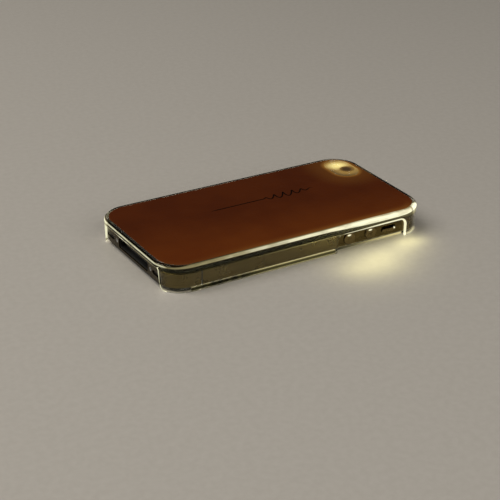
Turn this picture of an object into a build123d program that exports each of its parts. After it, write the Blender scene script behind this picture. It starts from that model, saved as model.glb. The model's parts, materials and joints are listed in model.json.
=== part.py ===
from build123d import *
import os
from math import atan2, degrees

# A slim slab phone of about 2010 that lies on its screen in a clear clip-on case. The case's back
# plate carries a thin metal panel, and a small reflector over the phone's flash turns the flash's
# light into the clear plastic.
#
# Millimetres. +X points to the phone's top end, -Y to the side with the volume buttons and +Z from
# the screen to the back. z = 0 is the surface that the screen glass and the case's open edge touch.

# ---------------------------------------------------------------- driving dimensions: phone
PHONE_LENGTH = 115.2
PHONE_WIDTH = 58.6
PHONE_THICKNESS = 9.3
BAND_HEIGHT = 6.0
BAND_RADIUS = 8.8
BAND_WALL = 1.3
BAND_CHAMFER = 0.25
GLASS_INSET = 1.1
GLASS_THICKNESS = 1.0
SEAM_WIDTH = 0.6
SIDE_SEAM_X = -44.0
TOP_SEAM_Y = -11.8

# ---------------------------------------------------------------- driving dimensions: case
CASE_LENGTH = 118.4
CASE_WIDTH = 61.2
CASE_HEIGHT = 11.0
CASE_RADIUS = 11.5
CASE_DRAFT = 0.35
CASE_DRAFT_TOP = 9.8
CASE_ROUNDING = 1.15
CASE_GAP = 0.15
CASE_CEILING = 9.4
PANEL_RIM = 1.8
PANEL_DEPTH = 0.5
PANEL_THICKNESS = 0.45
WINDOW_CENTRE = (50.2, 18.2)
WINDOW_LENGTH = 17.7
WINDOW_WIDTH = 11.2
SIDE_NOTCH_LOW_X = 16.0
SIDE_NOTCH_HIGH_X = 48.5
SIDE_NOTCH_TOP = 7.5
SIDE_NOTCH_ROUNDING = 2.8
END_NOTCH_TOP = 8.85
END_NOTCH_HALF_TOP = 22.3
END_NOTCH_HALF_FOOT = 23.2
END_NOTCH_FOOT_ROUNDING = 2.4
END_NOTCH_TOP_ROUNDING = 1.0
TOP_NOTCH_TOP = 7.3
TOP_NOTCH_ROUNDING = 2.6
JACK_NOTCH_WIDTH = 12.0
POWER_NOTCH_WIDTH = 15.0
LIP_REACH = 0.9
LIP_HEIGHT = 1.4
LIP_FOOT = 0.1

# ---------------------------------------------------------------- driving dimensions: controls
VOLUME_DOWN_X = 22.1
VOLUME_UP_X = 32.1
VOLUME_RADIUS = 2.6
MUTE_X = 40.8
MUTE_SLOT_LENGTH = 6.6
MUTE_SLOT_HEIGHT = 2.4
MUTE_LEVER_LENGTH = 6.4
MUTE_LEVER_HEIGHT = 1.2
POWER_Y = 15.5
POWER_LENGTH = 10.0
POWER_HEIGHT = 2.6
HOME_X = -47.5
HOME_RADIUS = 5.35
HOME_RECESS = 0.2
BUTTON_TRAVEL = 0.35
BUTTON_PROUD = 0.45
BUTTON_GAP = 0.1
SYMBOL_LENGTH = 2.0
SYMBOL_WIDTH = 0.35
SYMBOL_DEPTH = 0.12

# ---------------------------------------------------------------- driving dimensions: inside
CAMERA = (49.6, 21.6)
CAMERA_RING_RADIUS = 3.5
CAMERA_WINDOW_RADIUS = 2.6
FLASH = (51.6, 16.3)
FLASH_RADIUS = 1.5
LED_SIZE = 2.2
REFLECTOR_RADIUS = 2.8
EARPIECE_X = 47.5
EARPIECE_LENGTH = 10.5
EARPIECE_WIDTH = 1.5
FRONT_CAMERA_Y = -9.5
MID_PLATE_LOW = 3.0
MID_PLATE_HIGH = 3.4
BOARD_LOW = 3.6
BOARD_HIGH = 4.3
COVER_LOW = 8.3
JACK_Y = -19.7
JACK_BORE_RADIUS = 1.8
JACK_BORE_LENGTH = 13.5
DOCK_SLOT_LENGTH = 24.6
DOCK_SLOT_HEIGHT = 4.2
DOCK_PIN_COUNT = 30
DOCK_PIN_PITCH = 0.5
SIM_X = 0.5
SIM_Z = 4.95
GRILLE_Y = 19.5
GRILLE_LENGTH = 7.0
GRILLE_HEIGHT = 1.6
BOTTOM_SCREW_Y = 14.1
MOTOR_X = 49.5
MOTOR_Z = 5.5
MOTOR_RADIUS = 1.95

# ---------------------------------------------------------------- worked out from the above
HALF_LENGTH = PHONE_LENGTH / 2
HALF_WIDTH = PHONE_WIDTH / 2
MID_Z = PHONE_THICKNESS / 2
BAND_LOW = MID_Z - BAND_HEIGHT / 2
BAND_HIGH = MID_Z + BAND_HEIGHT / 2
BAND_INNER_X = HALF_LENGTH - BAND_WALL
BAND_INNER_Y = HALF_WIDTH - BAND_WALL
GLASS_LENGTH = PHONE_LENGTH - 2 * GLASS_INSET
GLASS_WIDTH = PHONE_WIDTH - 2 * GLASS_INSET
GLASS_RADIUS = BAND_RADIUS - GLASS_INSET
CAVITY_LENGTH = PHONE_LENGTH + 2 * CASE_GAP
CAVITY_WIDTH = PHONE_WIDTH + 2 * CASE_GAP
CAVITY_RADIUS = BAND_RADIUS + CASE_GAP
PANEL_LENGTH = CASE_LENGTH - 2 * PANEL_RIM
PANEL_WIDTH = CASE_WIDTH - 2 * PANEL_RIM
PANEL_RADIUS = CASE_RADIUS - PANEL_RIM
PANEL_LOW = CASE_HEIGHT - PANEL_DEPTH
PANEL_HIGH = PANEL_LOW + PANEL_THICKNESS
DRAFT_ANGLE = degrees(atan2(CASE_DRAFT, CASE_DRAFT_TOP))

os.makedirs("parts", exist_ok=True)


# ---------------------------------------------------------------- helpers
def save(piece, name):
    """Label a finished piece and write its STEP file."""
    piece.part.label = name
    export_step(piece.part, f"parts/{name}.step")


def near_side(x, depth, z):
    """Plane that faces -Y, at a distance from the phone's middle."""
    return Plane(origin=(x, -depth, z), x_dir=(1, 0, 0), z_dir=(0, -1, 0))


def far_side(x, depth, z):
    """Plane that faces +Y, at a distance from the phone's middle."""
    return Plane(origin=(x, depth, z), x_dir=(-1, 0, 0), z_dir=(0, 1, 0))


def top_end(depth, y, z):
    """Plane that faces +X, at a distance from the phone's middle."""
    return Plane(origin=(depth, y, z), x_dir=(0, 1, 0), z_dir=(1, 0, 0))


def bottom_end(depth, y, z):
    """Plane that faces -X, at a distance from the phone's middle."""
    return Plane(origin=(-depth, y, z), x_dir=(0, -1, 0), z_dir=(-1, 0, 0))


def slab(length, width, radius, low, high, mode=Mode.ADD):
    """Rounded plate centred on the phone's middle, between two heights."""
    with BuildSketch(Plane.XY.offset(low)) as outline:
        RectangleRounded(length, width, radius)
    extrude(outline.sketch, amount=high - low, mode=mode)


def panel_slab(height, mode=Mode.ADD):
    """Plate in the back panel's outline, without its window, that stands on the recess's floor."""
    with BuildSketch(Plane.XY.offset(PANEL_LOW)) as outline:
        RectangleRounded(PANEL_LENGTH, PANEL_WIDTH, PANEL_RADIUS)
        with Locations(WINDOW_CENTRE):
            SlotOverall(WINDOW_LENGTH, WINDOW_WIDTH, rotation=90, mode=Mode.SUBTRACT)
    extrude(outline.sketch, amount=height, mode=mode)


def block(low, high, mode=Mode.ADD):
    """Box between two opposite corners."""
    size = [top - bottom for bottom, top in zip(low, high)]
    with Locations(low):
        Box(*size, align=(Align.MIN, Align.MIN, Align.MIN), mode=mode)


def rod(plane, radius, length, mode=Mode.ADD):
    """Round rod or hole that stands on a plane, along its normal."""
    with BuildSketch(plane) as circle:
        Circle(radius)
    extrude(circle.sketch, amount=length, mode=mode)


def pill(plane, length, height, depth, mode=Mode.ADD):
    """Bar with round ends that stands on a plane, along its normal."""
    with BuildSketch(plane) as outline:
        SlotOverall(length, height)
    extrude(outline.sketch, amount=depth, mode=mode)


def bar(plane, length, height, depth, radius, mode=Mode.ADD):
    """Bar with rounded corners that stands on a plane, along its normal."""
    with BuildSketch(plane) as outline:
        RectangleRounded(length, height, radius)
    extrude(outline.sketch, amount=depth, mode=mode)


def edge_notch(plane, width, top, radius, depth):
    """Cut a notch with rounded top corners up from the case's open edge."""
    with BuildSketch(plane) as outline:
        with Locations((0, -1)):
            Rectangle(width, top + 1, align=(Align.CENTER, Align.MIN))
        fillet(outline.vertices().group_by(Axis.Y)[-1], radius)
    extrude(outline.sketch, amount=depth, mode=Mode.SUBTRACT)


def band_ring():
    """Whole steel band, before it is cut at its seams."""
    slab(PHONE_LENGTH, PHONE_WIDTH, BAND_RADIUS, BAND_LOW, BAND_HIGH)
    inner_radius = BAND_RADIUS - BAND_WALL
    slab(2 * BAND_INNER_X, 2 * BAND_INNER_Y, inner_radius, BAND_LOW, BAND_HIGH, mode=Mode.SUBTRACT)


def chamfer_band(band):
    """Break the band's outer edges at the front and the back."""
    ends = band.faces().filter_by(Axis.Z).sort_by(Axis.Z)
    rims = [edge for face in (ends[0], ends[-1]) for edge in face.outer_wire().edges()]
    outer = [edge for edge in rims if is_on_band_outside(edge)]
    chamfer(outer, BAND_CHAMFER)


def is_on_band_outside(edge):
    """True for an edge that runs round the band's outside."""
    middle = edge.position_at(0.5)
    reach = BAND_RADIUS - BAND_WALL / 2
    corner_x = max(abs(middle.X) - (HALF_LENGTH - BAND_RADIUS), 0)
    corner_y = max(abs(middle.Y) - (HALF_WIDTH - BAND_RADIUS), 0)
    along_rim = edge.length > 2 * BAND_WALL
    return along_rim and (corner_x**2 + corner_y**2) ** 0.5 > reach


# ---------------------------------------------------------------- case: reflector over the flash
REFLECTOR_FOOT = 10.3
REFLECTOR_TIP = 9.75
REFLECTOR_CONE_RADIUS = 2.2

with BuildPart() as flash_reflector:
    with BuildSketch(Plane.XZ.offset(-FLASH[1])):
        with BuildLine():
            Polyline(
                (FLASH[0], REFLECTOR_TIP),
                (FLASH[0] + REFLECTOR_CONE_RADIUS, REFLECTOR_FOOT),
                (FLASH[0] + REFLECTOR_RADIUS, REFLECTOR_FOOT),
                (FLASH[0] + REFLECTOR_RADIUS, PANEL_HIGH),
                (FLASH[0], PANEL_HIGH),
                close=True,
            )
        make_face()
    revolve(axis=Axis((FLASH[0], FLASH[1], 0), (0, 0, 1)))
save(flash_reflector, "flash_reflector")

# ---------------------------------------------------------------- case: clear shell
with BuildPart() as case_shell:
    with BuildSketch(Plane(origin=(0, 0, CASE_DRAFT_TOP), z_dir=(0, 0, -1))):
        RectangleRounded(CASE_LENGTH, CASE_WIDTH, CASE_RADIUS)
    extrude(amount=CASE_DRAFT_TOP, taper=DRAFT_ANGLE)
    slab(CASE_LENGTH, CASE_WIDTH, CASE_RADIUS, CASE_DRAFT_TOP, CASE_HEIGHT)
    fillet(case_shell.edges().group_by(Axis.Z)[-1], CASE_ROUNDING)
    slab(CAVITY_LENGTH, CAVITY_WIDTH, CAVITY_RADIUS, 0, CASE_CEILING, mode=Mode.SUBTRACT)
    # Recess for the back panel, which leaves the clear window round the flash standing.
    panel_slab(PANEL_DEPTH, mode=Mode.SUBTRACT)
    # Pocket for the reflector.
    add(flash_reflector.part, mode=Mode.SUBTRACT)
    rod(Plane(origin=(*FLASH, PANEL_HIGH)), REFLECTOR_RADIUS, CASE_HEIGHT - PANEL_HIGH, Mode.SUBTRACT)
    # Notch for the side buttons, open at the case's edge so that they pass when it lifts off.
    side_notch_x = (SIDE_NOTCH_LOW_X + SIDE_NOTCH_HIGH_X) / 2
    side_notch_width = SIDE_NOTCH_HIGH_X - SIDE_NOTCH_LOW_X
    edge_notch(
        near_side(side_notch_x, BAND_INNER_Y, 0),
        side_notch_width,
        SIDE_NOTCH_TOP,
        SIDE_NOTCH_ROUNDING,
        CASE_WIDTH / 2,
    )
    # Notches in the top end for the headphone plug and the power button.
    for notch_y, notch_width in ((JACK_Y, JACK_NOTCH_WIDTH), (POWER_Y, POWER_NOTCH_WIDTH)):
        edge_notch(
            top_end(BAND_INNER_X - CASE_RADIUS / 2, notch_y, 0),
            notch_width,
            TOP_NOTCH_TOP,
            TOP_NOTCH_ROUNDING,
            CASE_RADIUS,
        )
    # Open bottom end, between two corner posts with rounded feet.
    with BuildSketch(bottom_end(BAND_INNER_X - CASE_RADIUS / 2, 0, 0)) as end_opening:
        with BuildLine():
            Polyline(
                (-CASE_WIDTH, -2),
                (CASE_WIDTH, -2),
                (CASE_WIDTH, 0),
                (END_NOTCH_HALF_FOOT, 0),
                (END_NOTCH_HALF_TOP, END_NOTCH_TOP),
                (-END_NOTCH_HALF_TOP, END_NOTCH_TOP),
                (-END_NOTCH_HALF_FOOT, 0),
                (-CASE_WIDTH, 0),
                close=True,
            )
        make_face()
        foot_corners = [v for v in end_opening.vertices() if abs(v.Y) < 1 and abs(v.X) < CASE_WIDTH / 2]
        fillet(foot_corners, END_NOTCH_FOOT_ROUNDING)
        fillet(end_opening.vertices().group_by(Axis.Y)[-1], END_NOTCH_TOP_ROUNDING)
    extrude(end_opening.sketch, amount=CASE_RADIUS, mode=Mode.SUBTRACT)
save(case_shell, "case_shell")

# ---------------------------------------------------------------- case: snap lips
# Thin strips along the foot of the walls. They hook under the steel band.
NEAR_LIP_SPAN = (-48.5, SIDE_NOTCH_LOW_X - 0.5)
FAR_LIP_SPAN = (-48.5, 44.0)
TOP_LIP_SPAN = (-12.8, 7.2)
LIP_END_ROUNDING = 0.7

with BuildPart() as case_snap_lips:
    wall_x = CAVITY_LENGTH / 2
    wall_y = CAVITY_WIDTH / 2
    lip_top = LIP_FOOT + LIP_HEIGHT
    block((NEAR_LIP_SPAN[0], -wall_y, LIP_FOOT), (NEAR_LIP_SPAN[1], LIP_REACH - wall_y, lip_top))
    block((FAR_LIP_SPAN[0], wall_y - LIP_REACH, LIP_FOOT), (FAR_LIP_SPAN[1], wall_y, lip_top))
    block((wall_x - LIP_REACH, TOP_LIP_SPAN[0], LIP_FOOT), (wall_x, TOP_LIP_SPAN[1], lip_top))
    # Only the uprights that stand clear of the walls are rounded.
    free_corners = [
        edge
        for edge in case_snap_lips.edges().filter_by(Axis.Z)
        if abs(edge.center().X) < wall_x - 0.1 and abs(edge.center().Y) < wall_y - 0.1
    ]
    fillet(free_corners, LIP_END_ROUNDING)
save(case_snap_lips, "case_snap_lips")

# ---------------------------------------------------------------- case: back panel
with BuildPart() as case_back_panel:
    panel_slab(PANEL_THICKNESS)
save(case_back_panel, "case_back_panel")

# ---------------------------------------------------------------- steel band, in three pieces
HALF_SEAM = SEAM_WIDTH / 2
BIG = 2 * PHONE_LENGTH
SEAM_INSET = 0.03
SIM_SLOT_LENGTH = 15.6
SIM_SLOT_HEIGHT = 2.2
BOTTOM_SCREW_HOLE_RADIUS = 0.95

with BuildPart() as band_left:
    band_ring()
    block((SIDE_SEAM_X + HALF_SEAM, -BIG, 0), (BIG, TOP_SEAM_Y - HALF_SEAM, BIG), mode=Mode.INTERSECT)
    chamfer_band(band_left)
    for volume_x in (VOLUME_DOWN_X, VOLUME_UP_X):
        volume_hole = near_side(volume_x, BAND_INNER_Y - 1, MID_Z)
        rod(volume_hole, VOLUME_RADIUS + BUTTON_GAP, BAND_WALL + 2, mode=Mode.SUBTRACT)
    mute_hole = near_side(MUTE_X, BAND_INNER_Y - 1, MID_Z)
    bar(mute_hole, MUTE_SLOT_LENGTH, MUTE_SLOT_HEIGHT, BAND_WALL + 2, 0.4, mode=Mode.SUBTRACT)
    jack_hole = top_end(BAND_INNER_X - 2, JACK_Y, MID_Z)
    rod(jack_hole, JACK_BORE_RADIUS + 0.6, BAND_WALL + 3, mode=Mode.SUBTRACT)
save(band_left, "band_left")

with BuildPart() as band_right:
    band_ring()
    block((SIDE_SEAM_X + HALF_SEAM, TOP_SEAM_Y + HALF_SEAM, 0), (BIG, BIG, BIG), mode=Mode.INTERSECT)
    chamfer_band(band_right)
    sim_slot = far_side(SIM_X, BAND_INNER_Y - 1, SIM_Z)
    pill(sim_slot, SIM_SLOT_LENGTH, SIM_SLOT_HEIGHT, BAND_WALL + 2, mode=Mode.SUBTRACT)
    power_slot = top_end(BAND_INNER_X - 1, POWER_Y, MID_Z)
    pill(
        power_slot,
        POWER_LENGTH + 2 * BUTTON_GAP,
        POWER_HEIGHT + 2 * BUTTON_GAP,
        BAND_WALL + 2,
        mode=Mode.SUBTRACT,
    )
save(band_right, "band_right")

with BuildPart() as band_bottom:
    band_ring()
    block((-BIG, -BIG, 0), (SIDE_SEAM_X - HALF_SEAM, BIG, BIG), mode=Mode.INTERSECT)
    chamfer_band(band_bottom)
    dock_slot = bottom_end(BAND_INNER_X - 1, 0, MID_Z)
    bar(dock_slot, DOCK_SLOT_LENGTH, DOCK_SLOT_HEIGHT, BAND_WALL + 2, 1.0, mode=Mode.SUBTRACT)
    for side in (-1, 1):
        grille_hole = bottom_end(BAND_INNER_X - 2, side * GRILLE_Y, MID_Z)
        pill(grille_hole, GRILLE_LENGTH, GRILLE_HEIGHT, BAND_WALL + 3, mode=Mode.SUBTRACT)
        screw_hole = bottom_end(BAND_INNER_X - 1, side * BOTTOM_SCREW_Y, MID_Z)
        rod(screw_hole, BOTTOM_SCREW_HOLE_RADIUS, BAND_WALL + 2, mode=Mode.SUBTRACT)
save(band_bottom, "band_bottom")

with BuildPart() as antenna_seams:
    seam_depth = BAND_WALL - SEAM_INSET
    seam_height = BAND_HEIGHT - 2 * BAND_CHAMFER
    for side in (-1, 1):
        with Locations((SIDE_SEAM_X, side * (BAND_INNER_Y + seam_depth / 2), MID_Z)):
            Box(SEAM_WIDTH, seam_depth, seam_height)
    with Locations((BAND_INNER_X + seam_depth / 2, TOP_SEAM_Y, MID_Z)):
        Box(seam_depth, SEAM_WIDTH, seam_height)
save(antenna_seams, "antenna_seams")

# ---------------------------------------------------------------- middle plate
PLATE_GAP = 0.05
# Room for the side buttons, the power button, the headphone jack and the dock connector.
PLATE_BAYS = (
    ((18.5, -BAND_INNER_Y), (46.0, -26.8)),
    ((54.8, POWER_Y - 6.5), (BAND_INNER_X, POWER_Y + 6.5)),
    ((41.5, JACK_Y - 4.2), (BAND_INNER_X, JACK_Y + 4.2)),
    ((-BAND_INNER_X, -13.7), (-49.6, 13.7)),
)

with BuildPart() as mid_plate:
    slab(
        2 * (BAND_INNER_X - PLATE_GAP),
        2 * (BAND_INNER_Y - PLATE_GAP),
        BAND_RADIUS - BAND_WALL - PLATE_GAP,
        MID_PLATE_LOW,
        MID_PLATE_HIGH,
    )
    for bay_low, bay_high in PLATE_BAYS:
        block((*bay_low, 0), (*bay_high, BIG), mode=Mode.SUBTRACT)
save(mid_plate, "mid_plate")

# ---------------------------------------------------------------- front glass and what is behind it
BEZEL_HIGH = BAND_LOW
LCD_LOW_X = -40.0
LCD_HIGH_X = 41.0
LCD_HALF_WIDTH = 26.4
LCD_PANEL_HIGH = 2.2
LCD_TRAY_HIGH = 2.7
BEZEL_OPENING_LENGTH = 107.6
BEZEL_OPENING_WIDTH = 53.2
BEZEL_OPENING_RADIUS = 6.0
GLASS_CHAMFER = 0.2
MESH_LOW = 0.25
MESH_THICKNESS = 0.4
MESH_HOLE_RADIUS = 0.2
MESH_HOLE_PITCH = (0.7, 0.6)
MESH_HOLE_COUNT = (13, 2)
EARPIECE_BODY_HALF = (2.8, 6.5)
EARPIECE_BODY_HIGH = 2.8
FRONT_CAMERA_HALF = 2.6
FRONT_CAMERA_LENS_RADIUS = 1.6
FRONT_CAMERA_LENS_HEIGHT = 0.6
FRONT_CAMERA_HIGH = 2.9
SENSOR_LOW = (51.4, -2.2, GLASS_THICKNESS)
SENSOR_HIGH = (53.4, 2.2, 2.0)

with BuildPart() as front_glass:
    slab(GLASS_LENGTH, GLASS_WIDTH, GLASS_RADIUS, 0, GLASS_THICKNESS)
    chamfer(front_glass.edges().group_by(Axis.Z)[0], GLASS_CHAMFER)
    rod(Plane(origin=(HOME_X, 0, 0)), HOME_RADIUS + BUTTON_GAP, GLASS_THICKNESS, Mode.SUBTRACT)
    earpiece_slot = Plane(origin=(EARPIECE_X, 0, 0), x_dir=(0, 1, 0), z_dir=(0, 0, 1))
    pill(earpiece_slot, EARPIECE_LENGTH, EARPIECE_WIDTH, GLASS_THICKNESS, mode=Mode.SUBTRACT)
save(front_glass, "front_glass")

with BuildPart() as front_bezel:
    slab(GLASS_LENGTH, GLASS_WIDTH, GLASS_RADIUS, GLASS_THICKNESS, BEZEL_HIGH)
    slab(
        BEZEL_OPENING_LENGTH,
        BEZEL_OPENING_WIDTH,
        BEZEL_OPENING_RADIUS,
        GLASS_THICKNESS,
        BEZEL_HIGH,
        mode=Mode.SUBTRACT,
    )
save(front_bezel, "front_bezel")

with BuildPart() as lcd_panel:
    block((LCD_LOW_X, -LCD_HALF_WIDTH, GLASS_THICKNESS), (LCD_HIGH_X, LCD_HALF_WIDTH, LCD_PANEL_HIGH))
save(lcd_panel, "lcd_panel")

with BuildPart() as lcd_backplate:
    block((LCD_LOW_X, -LCD_HALF_WIDTH, LCD_PANEL_HIGH), (LCD_HIGH_X, LCD_HALF_WIDTH, LCD_TRAY_HIGH))
    fillet(lcd_backplate.edges().filter_by(Axis.Z), 1.0)
save(lcd_backplate, "lcd_backplate")

with BuildPart() as earpiece_mesh:
    mesh_foot = Plane(origin=(EARPIECE_X, 0, MESH_LOW), x_dir=(0, 1, 0), z_dir=(0, 0, 1))
    pill(mesh_foot, EARPIECE_LENGTH, EARPIECE_WIDTH, MESH_THICKNESS)
    with BuildSketch(mesh_foot):
        with GridLocations(*MESH_HOLE_PITCH, *MESH_HOLE_COUNT):
            Circle(MESH_HOLE_RADIUS)
    extrude(amount=MESH_THICKNESS, mode=Mode.SUBTRACT)
save(earpiece_mesh, "earpiece_mesh")

with BuildPart() as earpiece_speaker:
    half_x, half_y = EARPIECE_BODY_HALF
    block(
        (EARPIECE_X - half_x, -half_y, GLASS_THICKNESS),
        (EARPIECE_X + half_x, half_y, EARPIECE_BODY_HIGH),
    )
    fillet(earpiece_speaker.edges().filter_by(Axis.Z), 1.2)
save(earpiece_speaker, "earpiece_speaker")

with BuildPart() as front_camera:
    half = FRONT_CAMERA_HALF
    body_low = GLASS_THICKNESS + FRONT_CAMERA_LENS_HEIGHT
    block(
        (EARPIECE_X - half, FRONT_CAMERA_Y - half, body_low),
        (EARPIECE_X + half, FRONT_CAMERA_Y + half, FRONT_CAMERA_HIGH),
    )
    lens_foot = Plane(origin=(EARPIECE_X, FRONT_CAMERA_Y, GLASS_THICKNESS))
    rod(lens_foot, FRONT_CAMERA_LENS_RADIUS, FRONT_CAMERA_LENS_HEIGHT)
save(front_camera, "front_camera")

with BuildPart() as proximity_sensor:
    block(SENSOR_LOW, SENSOR_HIGH)
save(proximity_sensor, "proximity_sensor")

# ---------------------------------------------------------------- home button and its switch
HOME_FLANGE_LOW = 1.05
HOME_FLANGE_HIGH = 1.4
HOME_STEM_HIGH = 1.9
HOME_DISH_DEPTH = 0.3
HOME_DISH_RADIUS = 45.0
HOME_BODY_HEIGHT = 0.85
HOME_FLANGE_RADIUS = 6.0
BUTTON_STEM_RADIUS = 1.0
HOME_SWITCH_LOW = 2.5
HOME_SWITCH_HALF = 2.0
HOME_DOME_RADIUS = 1.5
HOME_DOME_HEIGHT = 0.2
SWITCH_GAP = 0.05

with BuildPart() as home_button:
    rod(Plane(origin=(HOME_X, 0, HOME_RECESS)), HOME_RADIUS, HOME_BODY_HEIGHT)
    home_flange = Plane(origin=(HOME_X, 0, HOME_FLANGE_LOW))
    rod(home_flange, HOME_FLANGE_RADIUS, HOME_FLANGE_HIGH - HOME_FLANGE_LOW)
    home_stem = Plane(origin=(HOME_X, 0, HOME_FLANGE_HIGH))
    rod(home_stem, BUTTON_STEM_RADIUS, HOME_STEM_HIGH - HOME_FLANGE_HIGH)
    with Locations((HOME_X, 0, HOME_RECESS + HOME_DISH_DEPTH - HOME_DISH_RADIUS)):
        Sphere(HOME_DISH_RADIUS, mode=Mode.SUBTRACT)
save(home_button, "home_button")

with BuildPart() as home_switch:
    half = HOME_SWITCH_HALF
    block((HOME_X - half, -half, HOME_SWITCH_LOW), (HOME_X + half, half, MID_PLATE_LOW))
    dome_foot = Plane(origin=(HOME_X, 0, HOME_STEM_HIGH + BUTTON_TRAVEL + SWITCH_GAP))
    rod(dome_foot, HOME_DOME_RADIUS, HOME_DOME_HEIGHT)
save(home_switch, "home_switch")

# ---------------------------------------------------------------- back cover
FRAME_OPENING_LENGTH = 104.0
FRAME_OPENING_WIDTH = 50.0
FRAME_OPENING_RADIUS = 5.0
FRAME_GAP = 0.2
LENS_COVER_INSET = 0.4
LENS_COVER_THICKNESS = 0.5
FLASH_COVER_INSET = 0.05
LED_HEIGHT = 1.3
CAMERA_BODY_SIZE = 8.0
CAMERA_BODY_HEIGHT = 3.5
CAMERA_BARREL_RADIUS = 3.1
CAMERA_BARREL_HEIGHT = 1.0
CAMERA_LENS_RADIUS = 1.5
CAMERA_LENS_DEPTH = 0.5

with BuildPart() as back_frame:
    slab(GLASS_LENGTH, GLASS_WIDTH, GLASS_RADIUS, BAND_HIGH, COVER_LOW)
    slab(
        FRAME_OPENING_LENGTH,
        FRAME_OPENING_WIDTH,
        FRAME_OPENING_RADIUS,
        BAND_HIGH,
        COVER_LOW,
        mode=Mode.SUBTRACT,
    )
    camera_hole = Plane(origin=(*CAMERA, BAND_HIGH))
    rod(camera_hole, CAMERA_RING_RADIUS + FRAME_GAP, COVER_LOW - BAND_HIGH, mode=Mode.SUBTRACT)
    with Locations((*FLASH, COVER_LOW)):
        led_hole = LED_SIZE + FRAME_GAP
        Box(led_hole, led_hole, 2 * (COVER_LOW - BAND_HIGH), mode=Mode.SUBTRACT)
save(back_frame, "back_frame")

with BuildPart() as back_glass:
    slab(GLASS_LENGTH, GLASS_WIDTH, GLASS_RADIUS, COVER_LOW, PHONE_THICKNESS)
    chamfer(back_glass.edges().group_by(Axis.Z)[-1], GLASS_CHAMFER)
    rod(Plane(origin=(*CAMERA, COVER_LOW)), CAMERA_RING_RADIUS, GLASS_THICKNESS, mode=Mode.SUBTRACT)
    rod(Plane(origin=(*FLASH, COVER_LOW)), FLASH_RADIUS, GLASS_THICKNESS, mode=Mode.SUBTRACT)
save(back_glass, "back_glass")

with BuildPart() as camera_lens_ring:
    rod(Plane(origin=(*CAMERA, COVER_LOW)), CAMERA_RING_RADIUS, GLASS_THICKNESS)
    rod(Plane(origin=(*CAMERA, COVER_LOW)), CAMERA_WINDOW_RADIUS, GLASS_THICKNESS, mode=Mode.SUBTRACT)
save(camera_lens_ring, "camera_lens_ring")

with BuildPart() as camera_window:
    lens_cover_foot = Plane(origin=(*CAMERA, COVER_LOW + LENS_COVER_INSET))
    rod(lens_cover_foot, CAMERA_WINDOW_RADIUS, LENS_COVER_THICKNESS)
save(camera_window, "camera_window")

with BuildPart() as flash_window:
    rod(Plane(origin=(*FLASH, COVER_LOW)), FLASH_RADIUS, GLASS_THICKNESS - FLASH_COVER_INSET)
save(flash_window, "flash_window")

with BuildPart() as flash_led:
    with Locations((*FLASH, COVER_LOW)):
        Box(LED_SIZE, LED_SIZE, LED_HEIGHT, align=(Align.CENTER, Align.CENTER, Align.MAX))
save(flash_led, "flash_led")

with BuildPart() as rear_camera:
    with Locations((*CAMERA, BOARD_LOW)):
        camera_size = (CAMERA_BODY_SIZE, CAMERA_BODY_SIZE, CAMERA_BODY_HEIGHT)
        Box(*camera_size, align=(Align.CENTER, Align.CENTER, Align.MIN))
    barrel_foot = BOARD_LOW + CAMERA_BODY_HEIGHT
    rod(Plane(origin=(*CAMERA, barrel_foot)), CAMERA_BARREL_RADIUS, CAMERA_BARREL_HEIGHT)
    fillet(rear_camera.edges().filter_by(Axis.Z).filter_by(GeomType.LINE), 0.6)
    lens_seat = Plane(origin=(*CAMERA, barrel_foot + CAMERA_BARREL_HEIGHT), z_dir=(0, 0, -1))
    rod(lens_seat, CAMERA_LENS_RADIUS, CAMERA_LENS_DEPTH, mode=Mode.SUBTRACT)
save(rear_camera, "rear_camera")

# ---------------------------------------------------------------- battery
BATTERY_LOW = (-36.0, -24.4, 3.5)
BATTERY_HIGH = (31.5, 8.7, 7.3)
PULL_TAB_LOW = (-6.0, -23.4, BATTERY_HIGH[2])
PULL_TAB_HIGH = (6.0, -9.0, BATTERY_HIGH[2] + 0.1)

with BuildPart() as battery:
    block(BATTERY_LOW, BATTERY_HIGH)
    fillet(battery.edges().filter_by(Axis.X), 0.8)
save(battery, "battery")

with BuildPart() as battery_pull_tab:
    block(PULL_TAB_LOW, PULL_TAB_HIGH)
    fillet(battery_pull_tab.edges().filter_by(Axis.Z), 2.0)
save(battery_pull_tab, "battery_pull_tab")

# ---------------------------------------------------------------- logic board
BOARD_OUTLINE = ((-37, 9.6), (33, 9.6), (33, -2), (44, -2), (44, 27.2), (-37, 27.2))
BOARD_SCREWS = ((-35.0, 25.2), (-35.0, 11.4), (35.0, 0.5), (42.0, 8.0), (42.2, 25.4))
SCREW_RADIUS = 0.5
SCREW_HEAD_RADIUS = 0.9
SHIELDS = (((-33.0, 10.4), (-9.6, 26.4)), ((10.6, 10.4), (40.2, 26.4)))
SHIELD_WALL = 0.2
SHIELD_HIGH = 6.1
SCREW_HEAD_HEIGHT = 0.4
# Middle, length and width of each chip.
CHIPS = ((-27, 18, 9, 9), (-16, 18, 6, 8), (17, 18, 8, 10), (27, 15, 7, 6), (35, 20, 6, 9))
CHIP_HEIGHT = 1.0
PLUG_LOW = (36.5, 1.5, BOARD_HIGH)
PLUG_HIGH = (41.0, 6.0, BOARD_HIGH + 1.1)
PLUG_STRAP_LOW = (BATTERY_HIGH[0], 2.5, BOARD_HIGH + 0.3)
PLUG_STRAP_HIGH = (PLUG_LOW[0], 5.0, BOARD_HIGH + 0.5)

with BuildPart() as logic_board:
    with BuildSketch(Plane.XY.offset(BOARD_LOW)) as board_outline:
        with BuildLine():
            Polyline(*BOARD_OUTLINE, close=True)
        make_face()
        fillet(board_outline.vertices(), 1.0)
        with Locations(*BOARD_SCREWS):
            Circle(SCREW_RADIUS + 0.05, mode=Mode.SUBTRACT)
    extrude(amount=BOARD_HIGH - BOARD_LOW)
save(logic_board, "logic_board")

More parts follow.
